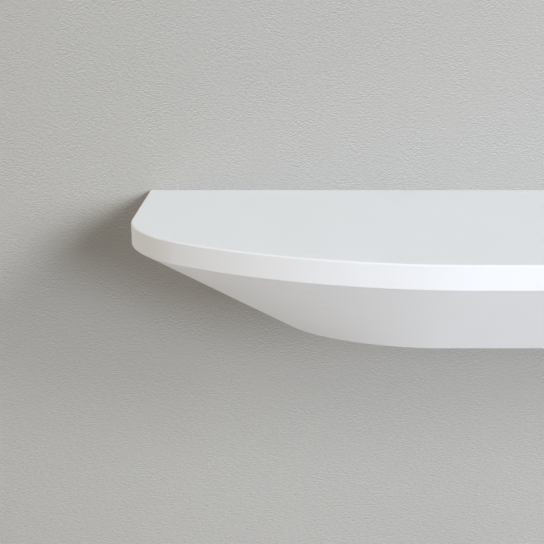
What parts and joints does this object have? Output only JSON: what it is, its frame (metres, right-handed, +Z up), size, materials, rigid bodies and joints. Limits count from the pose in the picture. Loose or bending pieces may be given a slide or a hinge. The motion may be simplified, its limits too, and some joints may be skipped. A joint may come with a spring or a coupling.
{
  "type": "floating wall shelf",
  "caption": "Floating wall shelf: a round-ended lacquered board on a tapered underbody, carried by a hidden steel wall plate whose rods slide into it and are locked from below.",
  "frame": {"origin": "centre of the wall screw pattern, on the wall plane and level with the axes of the support rods", "axes": "+X along the shelf to the right seen from the room, +Y into the wall, +Z up"},
  "size_m": [0.9, 0.3, 0.082],
  "materials": {
    "white_lacquer": "cool white satin lacquer sprayed on fibreboard",
    "raw_fibreboard": "bare sawn fibreboard",
    "beech": "planed beech",
    "bracket_steel": "black powder coat",
    "sleeve_nylon": "natural nylon",
    "insert_brass": "turned brass",
    "screw_steel": "zinc-plated steel"
  },
  "bodies": {
    "wall_bracket": {"wall_plate": "bracket_steel", "left_rod": "bracket_steel", "center_rod": "bracket_steel", "right_rod": "bracket_steel", "rod_welds": "bracket_steel"},
    "shelf": {"board_dowels": "beech", "bottom_panel": "white_lacquer", "center_rod_block": "beech", "center_sleeve": "sleeve_nylon", "floor_dowels": "beech", "front_apron": "white_lacquer", "glue_blocks": "raw_fibreboard", "left_curved_apron": "white_lacquer", "left_end_apron": "white_lacquer", "left_inner_rib": "raw_fibreboard", "left_outer_rib": "raw_fibreboard", "left_rod_block": "beech", "left_sleeve": "sleeve_nylon", "rail_screws": "screw_steel", "rear_rail": "raw_fibreboard", "right_curved_apron": "white_lacquer", "right_end_apron": "white_lacquer", "right_inner_rib": "raw_fibreboard", "right_outer_rib": "raw_fibreboard", "right_rod_block": "beech", "right_sleeve": "sleeve_nylon", "thread_inserts": "insert_brass", "top_board": "white_lacquer"},
    "left_lock": {"left_lock_screw": "screw_steel"},
    "right_lock": {"right_lock_screw": "screw_steel"}
  },
  "joints": [
    {"name": "shelf_slide", "type": "slide", "parent": "wall_bracket", "child": "shelf", "axis": [0, -1, 0], "range_m": [0, 0.15]},
    {"name": "left_lock_travel", "type": "slide", "parent": "shelf", "child": "left_lock", "axis": [0, 0, -1], "range_m": [0, 0.005]},
    {"name": "right_lock_travel", "type": "slide", "parent": "shelf", "child": "right_lock", "axis": [0, 0, -1], "range_m": [0, 0.005]}
  ]
}
